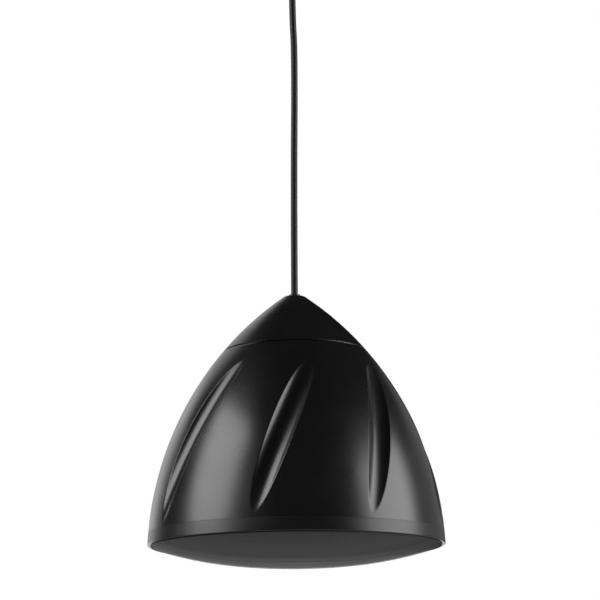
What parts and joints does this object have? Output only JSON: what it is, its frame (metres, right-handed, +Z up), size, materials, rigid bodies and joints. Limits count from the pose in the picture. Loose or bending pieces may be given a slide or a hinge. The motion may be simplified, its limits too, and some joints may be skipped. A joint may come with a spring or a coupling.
{
  "type": "pendant loudspeaker",
  "caption": "Ogive black pendant loudspeaker with slanted scoops round the bell, a lift-off cap, a domed perforated grille and a coaxial driver, hung by one cord from a ceiling rose.",
  "frame": {"origin": "centre of the ceiling plate's two fixing holes, on its upper face", "axes": "+Z up along the axis of cord and bell, out of the ceiling plate's upper face; -Y faces the camera"},
  "size_m": [0.3, 0.3, 0.6604],
  "materials": {
    "bell_plastic": "satin moulded",
    "cap_plastic": "satin moulded",
    "baffle_plastic": "satin moulded",
    "grille_metal": "satin powder coat, perforated",
    "grille_cloth": "open weave",
    "port_plastic": "moulded",
    "screw_black": "black zinc",
    "lining_felt": "polyester wadding",
    "basket_steel": "pressed steel, black",
    "motor_steel": "zinc plated",
    "magnet_ferrite": "ferrite",
    "cone_paper": "pressed pulp",
    "surround_rubber": "butyl",
    "spider_cloth": "resin-set pleats",
    "coil_copper": "enamelled wire",
    "terminal_plastic": "moulded",
    "board_laminate": "laminate",
    "capacitor_skin": "wrapped film",
    "tweeter_plastic": "moulded",
    "dome_silk": "coated silk",
    "zinc_steel": "bright zinc",
    "gland_nylon": "nylon",
    "ferrule_brass": "crimped",
    "switch_plastic": "moulded",
    "core_laminations": "varnished laminations",
    "winding_tape": "taped copper winding",
    "canopy_metal": "satin powder coat",
    "cord_jacket": "smooth jacket over two cores and a steel strand",
    "wire_black": "insulated wire",
    "wire_red": "insulated wire"
  },
  "bodies": {
    "housing": {"bell_shell": "bell_plastic", "baffle": "baffle_plastic", "grille": "grille_metal", "grille_cloth": "grille_cloth", "bass_port": "port_plastic", "baffle_screws": "screw_black", "driver_screws": "screw_black", "transformer_screws": "screw_black", "board_screws": "screw_black", "damping_lining": "lining_felt", "woofer_basket": "basket_steel", "top_plate": "motor_steel", "pole_piece": "motor_steel", "tweeter_post": "motor_steel", "magnet": "magnet_ferrite", "woofer_surround": "surround_rubber", "grip_sleeve": "surround_rubber", "spider": "spider_cloth", "crossover_choke": "coil_copper", "terminal_block": "terminal_plastic", "crossover_board": "board_laminate", "woofer_terminal": "board_laminate", "crossover_capacitors": "capacitor_skin", "tweeter_body": "tweeter_plastic", "tweeter_guard": "tweeter_plastic", "hanger_bridge": "zinc_steel", "hanger_backplate": "zinc_steel", "hanger_bolts": "zinc_steel", "hanger_nuts": "zinc_steel", "terminal_screws": "zinc_steel", "switch_nut": "zinc_steel", "transformer_strap": "zinc_steel", "ceiling_plate": "zinc_steel", "nipple": "zinc_steel", "gland_body": "gland_nylon", "gland_nut": "gland_nylon", "gland_locknut": "gland_nylon", "grip_body": "gland_nylon", "grip_nut": "gland_nylon", "cord_ferrule": "ferrule_brass", "tap_switch": "switch_plastic", "transformer_core": "core_laminations", "transformer_coil": "winding_tape", "ceiling_canopy": "canopy_metal", "suspension_cord": "cord_jacket", "input_lead": "wire_black", "output_lead": "wire_black", "cord_cores": "wire_red", "speaker_leads": "wire_red"},
    "cap": {"top_cap": "cap_plastic", "cap_grommet": "surround_rubber"},
    "cone": {"woofer_cone": "cone_paper", "voice_coil": "coil_copper"},
    "dome": {"tweeter_dome": "dome_silk"},
    "selector": {"tap_knob": "switch_plastic", "tap_shaft": "zinc_steel"}
  },
  "joints": [
    {"name": "cap_lift", "type": "slide", "parent": "housing", "child": "cap", "axis": [0, 0, 1], "range_m": [0, 0.09]},
    {"name": "cone_travel", "type": "slide", "parent": "housing", "child": "cone", "axis": [0, 0, 1], "range_m": [-0.003, 0.003], "stiffness_N_per_m": 2000, "deforming": ["woofer_surround", "spider"]},
    {"name": "dome_travel", "type": "slide", "parent": "housing", "child": "dome", "axis": [0, 0, 1], "range_m": [-0.0004, 0.0004], "stiffness_N_per_m": 1500},
    {"name": "tap_turn", "type": "hinge", "parent": "housing", "child": "selector", "pos_m": [0, -0.034, -0.44], "axis": [0, 0, 1], "range_deg": [0, 150]}
  ]
}
